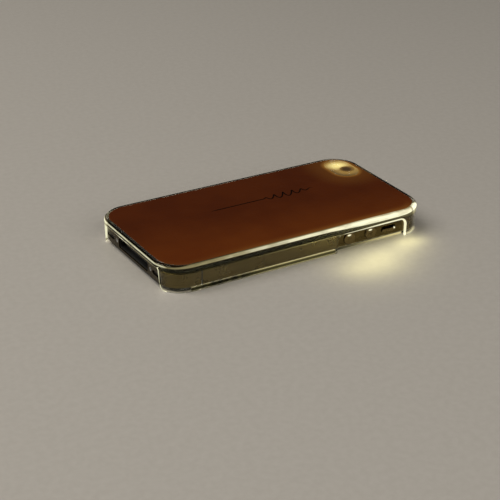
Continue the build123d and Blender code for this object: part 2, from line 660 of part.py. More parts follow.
with BuildPart() as board_chips:
    for chip_x, chip_y, chip_length, chip_width in CHIPS:
        with Locations((chip_x, chip_y, BOARD_HIGH)):
            Box(chip_length, chip_width, CHIP_HEIGHT, align=(Align.CENTER, Align.CENTER, Align.MIN))
save(board_chips, "board_chips")

with BuildPart() as board_shields:
    for (low_x, low_y), (high_x, high_y) in SHIELDS:
        block((low_x, low_y, BOARD_HIGH), (high_x, high_y, SHIELD_HIGH))
        block(
            (low_x + SHIELD_WALL, low_y + SHIELD_WALL, BOARD_HIGH),
            (high_x - SHIELD_WALL, high_y - SHIELD_WALL, SHIELD_HIGH - SHIELD_WALL),
            mode=Mode.SUBTRACT,
        )
save(board_shields, "board_shields")

with BuildPart() as board_screws:
    for screw_x, screw_y in BOARD_SCREWS:
        rod(Plane(origin=(screw_x, screw_y, MID_PLATE_HIGH)), SCREW_RADIUS, BOARD_HIGH - MID_PLATE_HIGH)
        rod(Plane(origin=(screw_x, screw_y, BOARD_HIGH)), SCREW_HEAD_RADIUS, SCREW_HEAD_HEIGHT)
save(board_screws, "board_screws")

with BuildPart() as battery_connector:
    block(PLUG_LOW, PLUG_HIGH)
    block(PLUG_STRAP_LOW, PLUG_STRAP_HIGH)
save(battery_connector, "battery_connector")

# ---------------------------------------------------------------- SIM tray, card and socket
SIM_CARD_LENGTH = 15.0
SIM_CARD_WIDTH = 12.0
SIM_CARD_THICKNESS = 0.76
SIM_PLATE_LENGTH = 15.5
SIM_PLATE_HEIGHT = 2.1
SIM_PLATE_INSET = 0.02
TRAY_HALF_WIDTH = 6.9
TRAY_LOW = 4.45
TRAY_HIGH = 5.4
TRAY_DEPTH = 16.6
TRAY_FLOOR = 0.15
CARD_GAP = 0.05
CARD_SET_BACK = 1.0
EJECT_HOLE_OFFSET = 6.2
EJECT_HOLE_RADIUS = 0.45
EJECT_HOLE_SET_BACK = 0.5
SOCKET_LOW = (SIM_X - 8.0, 10.6, BOARD_HIGH)
SOCKET_HIGH = (SIM_X + 8.0, 26.4, 5.9)
SOCKET_ROOM_LOW = (SIM_X - 7.3, 11.0, BOARD_HIGH)
SOCKET_ROOM_HIGH = (SIM_X + 7.3, 26.4, 5.6)

with BuildPart() as sim_tray:
    plate_foot = far_side(SIM_X, BAND_INNER_Y, SIM_Z)
    pill(plate_foot, SIM_PLATE_LENGTH, SIM_PLATE_HEIGHT, BAND_WALL - SIM_PLATE_INSET)
    block(
        (SIM_X - TRAY_HALF_WIDTH, BAND_INNER_Y - TRAY_DEPTH, TRAY_LOW),
        (SIM_X + TRAY_HALF_WIDTH, BAND_INNER_Y, TRAY_HIGH),
    )
    room_half = SIM_CARD_WIDTH / 2 + CARD_GAP
    room_outer = BAND_INNER_Y - CARD_SET_BACK + CARD_GAP
    block(
        (SIM_X - room_half, room_outer - SIM_CARD_LENGTH - 2 * CARD_GAP, TRAY_LOW + TRAY_FLOOR),
        (SIM_X + room_half, room_outer, TRAY_HIGH),
        mode=Mode.SUBTRACT,
    )
    eject_hole = far_side(SIM_X + EJECT_HOLE_OFFSET, BAND_INNER_Y + EJECT_HOLE_SET_BACK, SIM_Z)
    rod(eject_hole, EJECT_HOLE_RADIUS, BAND_WALL, mode=Mode.SUBTRACT)
save(sim_tray, "sim_tray")

with BuildPart() as sim_card:
    card_foot = TRAY_LOW + TRAY_FLOOR
    card_outer = BAND_INNER_Y - CARD_SET_BACK
    block(
        (SIM_X - SIM_CARD_WIDTH / 2, card_outer - SIM_CARD_LENGTH, card_foot),
        (SIM_X + SIM_CARD_WIDTH / 2, card_outer, card_foot + SIM_CARD_THICKNESS),
    )
    chamfer(sim_card.edges().filter_by(Axis.Z).sort_by(Axis.X)[0], 2.0)
save(sim_card, "sim_card")

with BuildPart() as sim_socket:
    block(SOCKET_LOW, SOCKET_HIGH)
    block(SOCKET_ROOM_LOW, SOCKET_ROOM_HIGH, mode=Mode.SUBTRACT)
save(sim_socket, "sim_socket")

# ---------------------------------------------------------------- headphone jack
JACK_BODY_LOW_X = 42.0
JACK_BODY_HIGH_X = 54.8
JACK_BODY_HALF_WIDTH = 3.6
JACK_BODY_HALF_HEIGHT = 2.4
JACK_COLLAR_WALL = 0.5
JACK_MOUTH_X = HALF_LENGTH - 0.1

with BuildPart() as headphone_jack:
    block(
        (JACK_BODY_LOW_X, JACK_Y - JACK_BODY_HALF_WIDTH, MID_Z - JACK_BODY_HALF_HEIGHT),
        (JACK_BODY_HIGH_X, JACK_Y + JACK_BODY_HALF_WIDTH, MID_Z + JACK_BODY_HALF_HEIGHT),
    )
    fillet(headphone_jack.edges().filter_by(Axis.X), 0.8)
    collar_foot = top_end(JACK_BODY_HIGH_X, JACK_Y, MID_Z)
    rod(collar_foot, JACK_BORE_RADIUS + JACK_COLLAR_WALL, JACK_MOUTH_X - JACK_BODY_HIGH_X)
    bore_foot = top_end(JACK_MOUTH_X - JACK_BORE_LENGTH, JACK_Y, MID_Z)
    rod(bore_foot, JACK_BORE_RADIUS, JACK_BORE_LENGTH, mode=Mode.SUBTRACT)
save(headphone_jack, "headphone_jack")

# ---------------------------------------------------------------- vibration motor
MOTOR_LOW_Y = -13.0
MOTOR_HIGH_Y = -4.4
SHAFT_RADIUS = 0.35
SHAFT_GAP = 0.06
SHAFT_SEAT = 1.5
SHAFT_HOLE_DEPTH = 1.6
WEIGHT_LENGTH = 3.6
WEIGHT_GAP = 0.4
WEIGHT_RADIUS = MOTOR_RADIUS - 0.1
WEIGHT_FLAT = 0.7

with BuildPart() as vibration_motor:
    rod(far_side(MOTOR_X, MOTOR_LOW_Y, MOTOR_Z), MOTOR_RADIUS, MOTOR_HIGH_Y - MOTOR_LOW_Y)
    shaft_hole = far_side(MOTOR_X, MOTOR_HIGH_Y - SHAFT_HOLE_DEPTH, MOTOR_Z)
    rod(shaft_hole, SHAFT_RADIUS + SHAFT_GAP, SHAFT_HOLE_DEPTH, mode=Mode.SUBTRACT)
save(vibration_motor, "vibration_motor")

with BuildPart() as motor_weight:
    shaft_foot = far_side(MOTOR_X, MOTOR_HIGH_Y - SHAFT_SEAT, MOTOR_Z)
    rod(shaft_foot, SHAFT_RADIUS, SHAFT_SEAT + WEIGHT_GAP + WEIGHT_LENGTH)
    # The weight is most of a disc, cut flat just above the shaft.
    with BuildSketch(far_side(MOTOR_X, MOTOR_HIGH_Y + WEIGHT_GAP, MOTOR_Z)):
        Circle(WEIGHT_RADIUS)
        with Locations((0, WEIGHT_FLAT)):
            Rectangle(2 * MOTOR_RADIUS, MOTOR_RADIUS, align=(Align.CENTER, Align.MIN), mode=Mode.SUBTRACT)
    extrude(amount=WEIGHT_LENGTH)
save(motor_weight, "motor_weight")

# ---------------------------------------------------------------- bottom end: speaker, dock, microphones
DOCK_BODY_HIGH_X = -49.8
DOCK_WALL = 0.35
DOCK_GAP = 0.1
DOCK_SET_BACK = 0.5
DOCK_FLOOR = 1.2
TONGUE_THICKNESS = 0.9
TONGUE_SET_BACK = 2.4
TONGUE_MARGIN = 2.5
CONTACT_SIZE = (4.6, 0.26, 0.1)
CONTACT_SET_BACK = 0.6
FLEX_HALF_WIDTH = 6.0
FLEX_HIGH_X = -37.2
FLEX_THICKNESS = 0.15
LOUDSPEAKER_LOW = (-52.0, 14.6, 3.5)
LOUDSPEAKER_HIGH = (-38.0, 25.4, 7.3)
BOTTOM_MICROPHONE_LOW = (-55.2, -GRILLE_Y - 1.6, MID_Z - 1.0)
BOTTOM_MICROPHONE_HIGH = (-53.4, -GRILLE_Y + 1.6, MID_Z + 1.0)
TOP_MICROPHONE_LOW = (53.6, -14.6, MID_Z - 0.9)
TOP_MICROPHONE_HIGH = (55.4, -12.6, MID_Z + 0.9)
GRILLE_MESH_INSET = 0.5
GRILLE_MESH_THICKNESS = 0.3
GRILLE_HOLE_RADIUS = 0.16
GRILLE_HOLE_PITCH = 0.55
GRILLE_HOLE_COUNT = (10, 2)
BOTTOM_SCREW_OUT = HALF_LENGTH - 0.1
BOTTOM_SCREW_IN = 54.6
BOTTOM_SCREW_RADIUS = 0.55
BOTTOM_SCREW_HEAD_RADIUS = 0.85
BOTTOM_SCREW_HEAD_HEIGHT = 0.6
BOTTOM_SCREW_SOCKET_RADIUS = 0.45
BOTTOM_SCREW_SOCKET_DEPTH = 0.3

with BuildPart() as loudspeaker:
    block(LOUDSPEAKER_LOW, LOUDSPEAKER_HIGH)
    fillet(loudspeaker.edges().filter_by(Axis.Z), 1.5)
save(loudspeaker, "loudspeaker")

with BuildPart() as dock_connector:
    dock_back = bottom_end(-DOCK_BODY_HIGH_X, 0, MID_Z)
    dock_depth = HALF_LENGTH - DOCK_SET_BACK + DOCK_BODY_HIGH_X
    dock_length = DOCK_SLOT_LENGTH - DOCK_GAP
    dock_height = DOCK_SLOT_HEIGHT - DOCK_GAP
    bar(dock_back, dock_length, dock_height, dock_depth, 0.95)
    dock_floor = bottom_end(DOCK_FLOOR - DOCK_BODY_HIGH_X, 0, MID_Z)
    room_length = dock_length - 2 * DOCK_WALL
    room_height = dock_height - 2 * DOCK_WALL
    bar(dock_floor, room_length, room_height, dock_depth, 0.7, mode=Mode.SUBTRACT)
    tongue_length = DOCK_PIN_COUNT * DOCK_PIN_PITCH + TONGUE_MARGIN
    bar(dock_floor, tongue_length, TONGUE_THICKNESS, dock_depth - TONGUE_SET_BACK, 0.3)
save(dock_connector, "dock_connector")

with BuildPart() as dock_contacts:
    contact_length, _, contact_thickness = CONTACT_SIZE
    contact_x = DOCK_BODY_HIGH_X - DOCK_FLOOR - CONTACT_SET_BACK - contact_length / 2
    contact_z = MID_Z + TONGUE_THICKNESS / 2 + contact_thickness / 2
    with Locations((contact_x, 0, contact_z)):
        with GridLocations(contact_length, DOCK_PIN_PITCH, 1, DOCK_PIN_COUNT):
            Box(*CONTACT_SIZE)
save(dock_contacts, "dock_contacts")

with BuildPart() as dock_flex:
    block(
        (DOCK_BODY_HIGH_X, -FLEX_HALF_WIDTH, MID_PLATE_HIGH),
        (FLEX_HIGH_X, FLEX_HALF_WIDTH, MID_PLATE_HIGH + FLEX_THICKNESS),
    )
save(dock_flex, "dock_flex")

with BuildPart() as microphones:
    block(BOTTOM_MICROPHONE_LOW, BOTTOM_MICROPHONE_HIGH)
    block(TOP_MICROPHONE_LOW, TOP_MICROPHONE_HIGH)
save(microphones, "microphones")

with BuildPart() as grille_meshes:
    for side in (-1, 1):
        mesh_back = bottom_end(BAND_INNER_X + GRILLE_MESH_INSET, side * GRILLE_Y, MID_Z)
        pill(mesh_back, GRILLE_LENGTH - 0.1, GRILLE_HEIGHT - 0.1, GRILLE_MESH_THICKNESS)
        with BuildSketch(mesh_back) as mesh_holes:
            with GridLocations(GRILLE_HOLE_PITCH, GRILLE_HOLE_PITCH, *GRILLE_HOLE_COUNT):
                Circle(GRILLE_HOLE_RADIUS)
        extrude(mesh_holes.sketch, amount=GRILLE_MESH_THICKNESS, mode=Mode.SUBTRACT)
save(grille_meshes, "grille_meshes")

with BuildPart() as bottom_screws:
    head_foot = BOTTOM_SCREW_OUT - BOTTOM_SCREW_HEAD_HEIGHT
    for side in (-1, 1):
        screw_y = side * BOTTOM_SCREW_Y
        thread_end = bottom_end(BOTTOM_SCREW_IN, screw_y, MID_Z)
        rod(thread_end, BOTTOM_SCREW_RADIUS, BOTTOM_SCREW_OUT - BOTTOM_SCREW_IN)
        rod(bottom_end(head_foot, screw_y, MID_Z), BOTTOM_SCREW_HEAD_RADIUS, BOTTOM_SCREW_HEAD_HEIGHT)
        with BuildSketch(bottom_end(BOTTOM_SCREW_OUT, screw_y, MID_Z)) as socket:
            RegularPolygon(BOTTOM_SCREW_SOCKET_RADIUS, 5)
        extrude(socket.sketch, amount=-BOTTOM_SCREW_SOCKET_DEPTH, mode=Mode.SUBTRACT)
save(bottom_screws, "bottom_screws")

# ---------------------------------------------------------------- side buttons
FLANGE_RADIUS = 2.9
FLANGE_OUT = BAND_INNER_Y - 0.1
FLANGE_IN = FLANGE_OUT - 0.5
STEM_IN = FLANGE_IN - 0.9
SWITCH_FACE = STEM_IN - BUTTON_TRAVEL - SWITCH_GAP
SWITCH_BACK = SWITCH_FACE - 0.4
BRACKET_BACK = SWITCH_BACK - 0.4
SWITCH_RADIUS = 1.2
VOLUME_CHAMFER = 0.15
LEVER_GAP = 0.05
LEVER_PLATE_LOW = (36.9, -FLANGE_OUT, 2.3)
LEVER_PLATE_HIGH = (44.7, 0.6 - FLANGE_OUT, 5.9)
MUTE_SWITCH_LOW = (37.4, -27.1, 3.6)
MUTE_SWITCH_HIGH = (44.2, -SWITCH_BACK, 5.8)
BRACKET_SPAN = (18.6, 46.0)
BRACKET_HIGH = 6.6
BRACKET_FOOT_WIDTH = 0.5
BRACKET_FOOT_THICKNESS = 0.1


def volume_button(x, has_upright):
    """Round button with a minus or a plus cut into its face."""
    rod(near_side(x, FLANGE_OUT, MID_Z), VOLUME_RADIUS, HALF_WIDTH + BUTTON_PROUD - FLANGE_OUT)
    rod(near_side(x, FLANGE_IN, MID_Z), FLANGE_RADIUS, FLANGE_OUT - FLANGE_IN)
    rod(near_side(x, STEM_IN, MID_Z), BUTTON_STEM_RADIUS, FLANGE_IN - STEM_IN)
    with BuildSketch(near_side(x, HALF_WIDTH + BUTTON_PROUD, MID_Z)) as symbol:
        Rectangle(SYMBOL_LENGTH, SYMBOL_WIDTH)
        if has_upright:
            Rectangle(SYMBOL_WIDTH, SYMBOL_LENGTH)
    extrude(symbol.sketch, amount=-SYMBOL_DEPTH, mode=Mode.SUBTRACT)


with BuildPart() as volume_up_button:
    volume_button(VOLUME_UP_X, has_upright=True)
    chamfer(volume_up_button.faces().sort_by(Axis.Y)[0].outer_wire().edges(), VOLUME_CHAMFER)
save(volume_up_button, "volume_up_button")

with BuildPart() as volume_down_button:
    volume_button(VOLUME_DOWN_X, has_upright=False)
    chamfer(volume_down_button.faces().sort_by(Axis.Y)[0].outer_wire().edges(), VOLUME_CHAMFER)
save(volume_down_button, "volume_down_button")

with BuildPart() as mute_lever:
    lever_low = MID_Z - MUTE_SLOT_HEIGHT / 2 + LEVER_GAP
    lever_foot = near_side(MUTE_X, FLANGE_OUT, lever_low + MUTE_LEVER_HEIGHT / 2)
    lever_reach = HALF_WIDTH + BUTTON_PROUD - FLANGE_OUT
    bar(lever_foot, MUTE_LEVER_LENGTH, MUTE_LEVER_HEIGHT, lever_reach, 0.35)
    block(LEVER_PLATE_LOW, LEVER_PLATE_HIGH)
save(mute_lever, "mute_lever")

with BuildPart() as side_switches:
    for volume_x in (VOLUME_DOWN_X, VOLUME_UP_X):
        rod(near_side(volume_x, SWITCH_BACK, MID_Z), SWITCH_RADIUS, SWITCH_FACE - SWITCH_BACK)
    block(MUTE_SWITCH_LOW, MUTE_SWITCH_HIGH)
save(side_switches, "side_switches")

with BuildPart() as side_button_bracket:
    low_x, high_x = BRACKET_SPAN
    block((low_x, -SWITCH_BACK, MID_PLATE_HIGH), (high_x, -BRACKET_BACK, BRACKET_HIGH))
    block(
        (low_x, -BRACKET_BACK, MID_PLATE_HIGH),
        (high_x, BRACKET_FOOT_WIDTH - BRACKET_BACK, MID_PLATE_HIGH + BRACKET_FOOT_THICKNESS),
    )
save(side_button_bracket, "side_button_bracket")

# ---------------------------------------------------------------- power button
POWER_FLANGE_OUT = BAND_INNER_X - 0.1
POWER_FLANGE_IN = POWER_FLANGE_OUT - 0.4
POWER_STEM_IN = POWER_FLANGE_IN - 0.5
POWER_SWITCH_FACE = POWER_STEM_IN - BUTTON_TRAVEL - SWITCH_GAP
POWER_FLANGE_RIM = 0.9
POWER_SWITCH_HEIGHT = 0.3
POWER_BRACKET_LOW = (POWER_SWITCH_FACE - 0.6, POWER_Y - 4.5, MID_PLATE_HIGH)
POWER_BRACKET_HIGH = (POWER_SWITCH_FACE - POWER_SWITCH_HEIGHT, POWER_Y + 1.9, 6.4)

with BuildPart() as power_button:
    power_reach = HALF_LENGTH + BUTTON_PROUD - POWER_FLANGE_OUT
    pill(top_end(POWER_FLANGE_OUT, POWER_Y, MID_Z), POWER_LENGTH, POWER_HEIGHT, power_reach)
    chamfer(power_button.faces().sort_by(Axis.X)[-1].outer_wire().edges(), 0.2)
    flange_length = POWER_LENGTH + POWER_FLANGE_RIM
    flange_height = POWER_HEIGHT + POWER_FLANGE_RIM
    flange_foot = top_end(POWER_FLANGE_IN, POWER_Y, MID_Z)
    pill(flange_foot, flange_length, flange_height, POWER_FLANGE_OUT - POWER_FLANGE_IN)
    rod(top_end(POWER_STEM_IN, POWER_Y, MID_Z), BUTTON_STEM_RADIUS, POWER_FLANGE_IN - POWER_STEM_IN)
save(power_button, "power_button")

with BuildPart() as power_switch:
    switch_foot = top_end(POWER_SWITCH_FACE - POWER_SWITCH_HEIGHT, POWER_Y, MID_Z)
    rod(switch_foot, SWITCH_RADIUS, POWER_SWITCH_HEIGHT)
    block(POWER_BRACKET_LOW, POWER_BRACKET_HIGH)
save(power_switch, "power_switch")

# ---------------------------------------------------------------- antenna clips
CLIP_WIDTH = 2.0
CLIP_REACH = 2.4
CLIP_THICKNESS = 0.2
CLIP_HIGH = 6.4

with BuildPart() as antenna_clips:
    clip_y = -BAND_INNER_Y
    for clip_x in (-42.0, -32.0):
        clip_end = clip_x + CLIP_WIDTH
        block((clip_x, clip_y, MID_PLATE_HIGH), (clip_end, clip_y + CLIP_THICKNESS, CLIP_HIGH))
        block(
            (clip_x, clip_y, MID_PLATE_HIGH),
            (clip_end, clip_y + CLIP_REACH, MID_PLATE_HIGH + CLIP_THICKNESS),
        )
save(antenna_clips, "antenna_clips")
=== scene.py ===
"""Looks for the slab phone that lies on its screen in a clear light-guide case.

The CAD nodes keep their shapes. This script gives each one a procedural material, adds the printed
flourish on the back panel, and sets the floor, the lights and the camera. Metres, in the CAD frame:
+X to the phone's top end, -Y to the side with the volume buttons, +Z up. Materials count in
millimetres, because the object's details are that small.
"""
import json
import math

import bmesh
import bpy
from mathutils import Matrix, Vector


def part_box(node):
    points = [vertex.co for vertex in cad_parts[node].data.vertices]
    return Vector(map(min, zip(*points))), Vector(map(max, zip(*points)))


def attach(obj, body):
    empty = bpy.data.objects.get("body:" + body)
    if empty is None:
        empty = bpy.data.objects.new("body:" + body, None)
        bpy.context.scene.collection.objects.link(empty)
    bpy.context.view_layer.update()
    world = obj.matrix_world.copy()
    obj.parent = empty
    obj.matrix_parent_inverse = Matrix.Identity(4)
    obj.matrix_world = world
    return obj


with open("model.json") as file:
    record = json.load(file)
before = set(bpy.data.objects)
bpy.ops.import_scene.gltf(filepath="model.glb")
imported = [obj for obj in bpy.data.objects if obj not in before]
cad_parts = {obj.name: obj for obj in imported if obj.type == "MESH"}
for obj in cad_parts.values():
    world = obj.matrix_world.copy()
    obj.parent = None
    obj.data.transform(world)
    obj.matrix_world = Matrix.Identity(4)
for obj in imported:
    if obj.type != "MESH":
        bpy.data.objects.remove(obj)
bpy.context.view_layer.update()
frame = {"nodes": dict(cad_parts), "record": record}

MM = 0.001

# The case's size and the flash's place in plan, from the frame's boxes, in millimetres.
CASE_HALF_LENGTH, CASE_HALF_WIDTH, CASE_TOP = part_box("case_shell")[1] / MM
flash_low, flash_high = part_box("flash_reflector")
FLASH_SPOT = tuple((flash_low + flash_high).xy / 2 / MM)

# Details of the case that the frame's boxes don't give, in millimetres.
CASE_CORNER = 11.5
PANEL_RIM = 1.8
END_NOTCH_TOP = 8.85
END_NOTCH_HALF = 22.75
END_NOTCH_FOOT_ROUNDING = 2.4
SIDE_NOTCH_TOP = 7.5
SIDE_NOTCH_SPAN = (16.0, 48.5)
SIDE_NOTCH_ROUNDING = 2.8
WINDOW_CENTRE = (50.2, 18.2)
WINDOW_HALF = (5.6, 8.85)

# The view of the photograph: metres, degrees and, for the lens and sensor, millimetres.
CAMERA_PLACE = (-0.2690, -0.4374, 0.2463)
CAMERA_AZIMUTH = 31.06
CAMERA_DROP = 26.32
CAMERA_ROLL = 0.54
CAMERA_LENS = 102.1
SENSOR_WIDTH = 36.0

# Colours of the flash's light: where it leaves the plastic, strong and weak, in the window beside
# the flash, strong and weak, and where it falls on the panel and on the floor.
LIGHT_CORE = (1.0, 0.97, 0.66)
LIGHT_EDGE = (1.0, 0.86, 0.40)
WINDOW_CORE = (1.0, 0.80, 0.28)
WINDOW_EDGE = (1.0, 0.56, 0.12)
PANEL_GOLD = (1.0, 0.50, 0.09)
FLOOR_POOL = (1.0, 0.94, 0.45)

PLASTIC_IOR = 1.49
GLASS_IOR = 1.52


# ---------------------------------------------------------------- node trees
# Numbers of the Mix node's colour sockets, which share their names with its other sockets.
MIX_FIRST, MIX_SECOND, MIX_RESULT = 6, 7, 2


class Value:
    """A number that varies over a surface. Arithmetic on it adds math nodes to its tree."""

    def __init__(self, tree, socket):
        self.tree = tree
        self.socket = socket

    def math(self, operation, other=0.0, swapped=False):
        pair = (other, self) if swapped else (self, other)
        node = self.tree.node("Math", dict(enumerate(pair)), operation=operation)
        return Value(self.tree, node.outputs[0])

    def __add__(self, other):
        return self.math("ADD", other)

    def __sub__(self, other):
        return self.math("SUBTRACT", other)

    def __rsub__(self, other):
        return self.math("SUBTRACT", other, swapped=True)

    def __mul__(self, other):
        return self.math("MULTIPLY", other)

    def __pow__(self, power):
        return self.math("POWER", power)

    def __abs__(self):
        return self.math("ABSOLUTE")

    __radd__ = __add__
    __rmul__ = __mul__

    def at_least(self, other):
        return self.math("MAXIMUM", other)

    def step(self, low, high, to_low=0.0, to_high=1.0):
        """Smooth change from one value at low to another at high. low may be above high."""
        inputs = {"Value": self, "From Min": low, "From Max": high, "To Min": to_low, "To Max": to_high}
        node = self.tree.node("MapRange", inputs, interpolation_type="SMOOTHSTEP")
        return Value(self.tree, node.outputs["Result"])


class Tree:
    """One material's node tree, with a short call for each kind of node used here."""

    def __init__(self, name):
        self.material = bpy.data.materials.new(name)
        self.material.use_nodes = True
        self.nodes = self.material.node_tree.nodes
        self.links = self.material.node_tree.links
        self.shader = self.nodes["Principled BSDF"]
        self.output = self.nodes["Material Output"]

    def node(self, kind, inputs=(), **settings):
        made = self.nodes.new("ShaderNode" + kind)
        for key, value in settings.items():
            setattr(made, key, value)
        for socket, value in dict(inputs).items():
            self.feed(made.inputs[socket], value)
        return made

    def feed(self, socket, value):
        """Link a value, a node's output or a colour to a socket, or set a constant on it."""
        if isinstance(value, Value):
            value = value.socket
        if isinstance(value, bpy.types.NodeSocket):
            self.links.new(value, socket)
        elif socket.type == "RGBA" and len(value) == 3:
            socket.default_value = (*value, 1.0)
        else:
            socket.default_value = value

    def set(self, **values):
        """Set or link the main shader's inputs. An underscore in a name stands for a space."""
        for key, value in values.items():
            self.feed(self.shader.inputs[key.replace("_", " ")], value)

    def feeding(self, name):
        """The output that feeds one of the main shader's inputs."""
        return self.shader.inputs[name].links[0].from_socket

    def mix(self, factor, first, second):
        """Colour between two colours."""
        made = self.node("Mix", data_type="RGBA")
        self.feed(made.inputs["Factor"], factor)
        self.feed(made.inputs[MIX_FIRST], first)
        self.feed(made.inputs[MIX_SECOND], second)
        return made.outputs[MIX_RESULT]

    def place(self, stretch=(1, 1, 1)):
        """The surface point in millimetres, in the CAD frame, stretched along each axis."""
        spot = self.node("TexCoord").outputs["Object"]
        scale = [share / MM for share in stretch]
        return self.node("VectorMath", {0: spot, 1: scale}, operation="MULTIPLY").outputs[0]

    def parts_of(self, vector):
        """The x, y and z of a vector as values."""
        made = self.node("SeparateXYZ", {0: vector})
        return [Value(self, output) for output in made.outputs]

    def axes(self):
        return self.parts_of(self.place())

    def noise(self, scale, detail=3.0, stretch=(1, 1, 1), roughness=0.5):
        """Noise from 0 to 1. scale counts features per millimetre."""
        inputs = {"Vector": self.place(stretch), "Scale": scale, "Detail": detail, "Roughness": roughness}
        return Value(self, self.node("TexNoise", inputs).outputs["Fac"])

    def bump(self, height, depth, strength=1.0, normal=None):
        """Normal of a relief. depth is its height in millimetres."""
        inputs = {"Height": height, "Distance": depth * MM, "Strength": strength}
        if normal is not None:
            inputs["Normal"] = normal
        return self.node("Bump", inputs).outputs[0]

    def soft_edges(self, radius):
        """Normal that rounds sharp edges by a radius in millimetres."""
        return self.node("Bevel", {"Radius": radius * MM}, samples=4).outputs[0]

    def from_behind(self):
        """1 where a face is seen from its back, else 0."""
        return Value(self, self.node("NewGeometry").outputs["Backfacing"])

    def pass_lamps(self, tint):
        """Let the lamps' light go straight through the material, with a tint."""
        clear = self.node("BsdfTransparent", {"Color": tint})
        lamp_ray = self.node("LightPath").outputs["Is Shadow Ray"]
        mixed = self.node("MixShader", {0: lamp_ray, 1: self.shader.outputs[0], 2: clear.outputs[0]})
        self.links.new(mixed.outputs[0], self.output.inputs["Surface"])

    def spot_distance(self, spot):
        """Distance in millimetres to an upright line through a point of the plan."""
        x, y, _ = self.axes()
        return distance(x - spot[0], y - spot[1])

    def case_edge(self):
        """Distance in millimetres past the case's plan outline, negative inside it."""
        x, y, _ = self.axes()
        return past_outline(x, y, CASE_HALF_LENGTH, CASE_HALF_WIDTH, CASE_CORNER)


def distance(across, up):
    return (across * across + up * up) ** 0.5


def past_outline(across, up, half_width, half_height, corner):
    """Distance past a rounded outline round (0, 0), negative inside it."""
    past_across = (abs(across) - (half_width - corner)).at_least(0.0)
    past_up = (abs(up) - (half_height - corner)).at_least(0.0)
    return distance(past_across, past_up) - corner


# ---------------------------------------------------------------- the flash's light in the case
# Each part of the clear plastic has a function for the share of the light that leaves there. It is
# a product of fades over millimetres: step(a, b) grows from nothing at a to full light at b.

# A notch's outline goes this deep below its top, so that it is open at the case's foot.
NOTCH_DEPTH = 40.0
# Width of the line of light along a cut edge.
EDGE_LINE = 0.40
# Where a shadow crosses the near rim, and the hottest point of the window in plan.
RIM_PINCH_X = 52.2
HOT_SPOT = (50.0, 21.8)


def broken_line(tree, weakest):
    """Share of a line of light that is broken along the case's length."""
    return tree.noise(0.5, 4.0, stretch=(1.0, 0.1, 0.1)).step(0.42, 0.60, weakest, 1.0)


def rim_light(tree):
    """Rounded rim: a thin line at the bottom end, which grows wide and strong by the top end."""
    x, y, z = tree.axes()
    edge = tree.case_edge()
    near = y.step(-24.5, -27.2)
    flow = x.step(8.0, 34.0) * x.step(56.0, 43.0, 0.35, 1.0) * near
    end = x.step(-48.0, -57.0)
    from_below = (z + 0.95 * flow + 0.2 * end).step(CASE_TOP - 0.95, CASE_TOP - 0.7)
    under_top = (z + 0.5 * end).step(CASE_TOP + 0.1, CASE_TOP - 0.1)
    from_inside = (edge + 0.5 * flow).step(-PANEL_RIM, 1.0 - PANEL_RIM) ** 1.4 * under_top
    streaks = tree.noise(0.8, 3.0, stretch=(0.2, 0.2, 1.0)).step(0.35, 0.6, 0.7, 1.0)
    pinch = abs(x - RIM_PINCH_X).step(0.0, 0.9, 0.4, 1.0)
    share = (near * x.step(-62.0, 25.0, 0.18, 1.0)).at_least(x.step(-56.0, -58.0, 0.0, 0.65))
    return from_below * from_inside * share.at_least(0.01) * streaks * pinch


def end_wall_light(tree):
    """Bottom end: the wall's lower edge and the cut edges of its two posts."""
    x, y, z = tree.axes()
    broken = tree.noise(0.30, 2.0, stretch=(1.0, 1.0, 0.2)).step(0.35, 0.6, 0.45, 1.0)
    end = x.step(-56.4, -56.7)
    gap = past_outline(y, z - (END_NOTCH_TOP - NOTCH_DEPTH), END_NOTCH_HALF, NOTCH_DEPTH, 1.0)
    cut_line = gap.step(EDGE_LINE, 0.15) * end
    middle = y.step(-1.0, 4.0) * y.step(14.0, 9.0)
    from_post = END_NOTCH_HALF - abs(y)
    under_wall = cut_line * from_post.step(0.15, 0.75) * (0.22 + 0.65 * middle) * broken
    post = cut_line * from_post.step(0.75, 0.25) * y.step(-1.0, 1.0, 0.55, 0.85)
    foot_centre = END_NOTCH_HALF + 0.35 + END_NOTCH_FOOT_ROUNDING
    ring = distance(abs(y) - foot_centre, z - END_NOTCH_FOOT_ROUNDING) - END_NOTCH_FOOT_ROUNDING
    low = abs(y).step(foot_centre + 0.4, foot_centre) * z.step(2.6, 2.2)
    foot = abs(ring + 0.1).step(0.35, 0.1) * low * end
    corner_side = x.step(-57.0, -58.4) * y.step(18.0, 20.5) * y.step(26.0, 23.0)
    far_corner = corner_side * z.step(8.8, 9.2) * z.step(CASE_TOP - 0.1, CASE_TOP - 0.6)
    return under_wall.at_least(post).at_least(foot * 0.6).at_least(far_corner * 0.4)


def side_notch_light(tree):
    """Cut edge of the notch for the side buttons, bright along its top and round its far end."""
    x, y, z = tree.axes()
    low, high = SIDE_NOTCH_SPAN
    across = x - (low + high) / 2
    up = z - (SIDE_NOTCH_TOP - NOTCH_DEPTH)
    gap = past_outline(across, up, (high - low) / 2, NOTCH_DEPTH, SIDE_NOTCH_ROUNDING)
    swell = x.step(low + 2.0, high - 6.5, 0.0, 0.35)
    cut_line = (gap - swell).step(EDGE_LINE, 0.15) * y.step(-28.8, -29.2)
    return cut_line * (x.step(low + 1.0, low + 4.5, 0.02, 0.6) + x.step(low + 6.0, high - 8.5, 0.0, 0.3))


